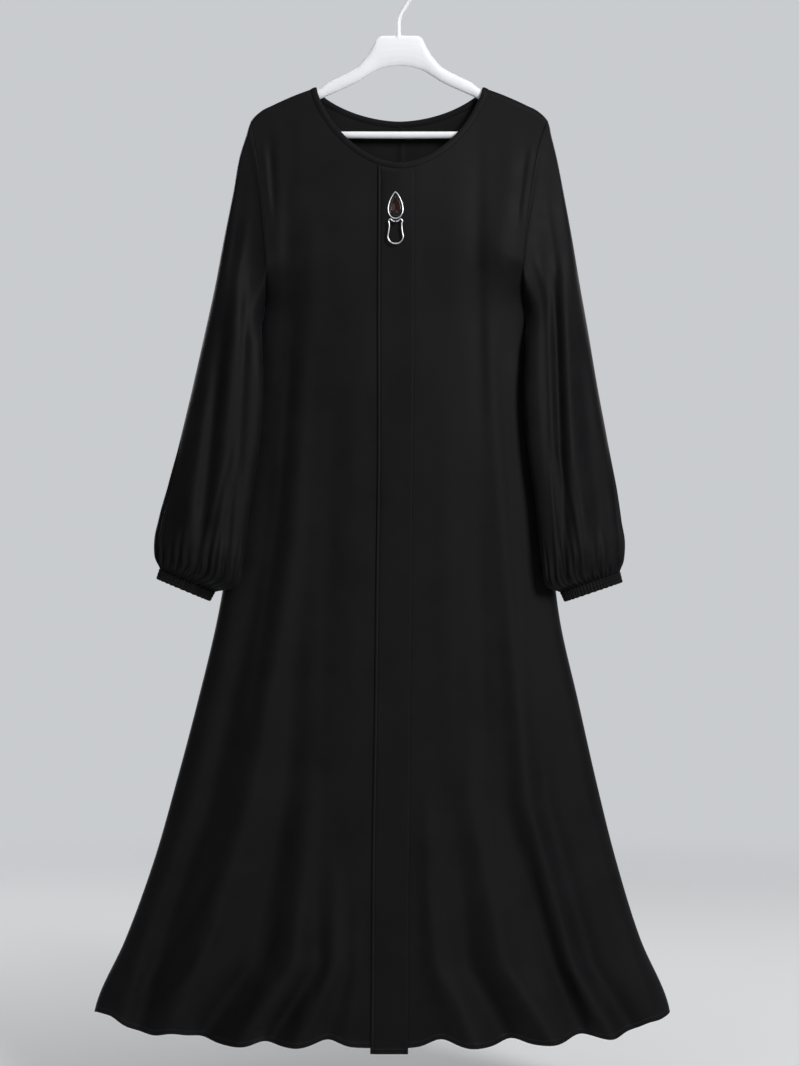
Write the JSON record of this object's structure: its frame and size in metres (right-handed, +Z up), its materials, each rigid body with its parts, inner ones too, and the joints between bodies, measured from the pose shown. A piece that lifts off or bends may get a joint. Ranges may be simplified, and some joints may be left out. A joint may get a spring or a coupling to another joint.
{
  "type": "abaya cloak on a clothes hanger",
  "caption": "Long A-line cloak with a round neck, lapped front placket, balloon sleeves gathered into ruched cuffs and a pendant with a swinging ring, hung on a moulded clothes hanger.",
  "frame": {"origin": "the point where a rail touches the inside of the hanger's hook, at the top of the hook's inner curve", "axes": "+X to the viewer's right as the front is seen, +Z up, and the front of the garment faces -Y"},
  "size_m": [0.8176, 0.131, 1.528],
  "materials": {
    "black_crepe": "matt crepe with a soft sheen along its folds",
    "white_plastic": "satin moulded plastic",
    "silver_metal": "polished plating",
    "black_enamel": "gloss enamel",
    "smoky_stone": "faceted dark glass stone"
  },
  "bodies": {
    "abaya": {"front_right": "black_crepe", "front_left": "black_crepe", "back_right": "black_crepe", "back_left": "black_crepe", "placket": "black_crepe", "neck_binding": "black_crepe", "sleeve_right": "black_crepe", "sleeve_left": "black_crepe", "cuff_right": "black_crepe", "cuff_left": "black_crepe", "pendant_frame": "silver_metal", "pendant_plate": "black_enamel", "pendant_stone": "smoky_stone", "pendant_lug": "silver_metal", "hanger": "white_plastic"},
    "pull_ring": {"pull_ring": "silver_metal"}
  },
  "joints": [
    {"name": "ring_swing", "type": "hinge", "parent": "abaya", "child": "pull_ring", "pos_m": [-0.0056, -0.04363, -0.3565], "axis": [-1, 0, 0], "range_deg": [-8, 150]}
  ]
}
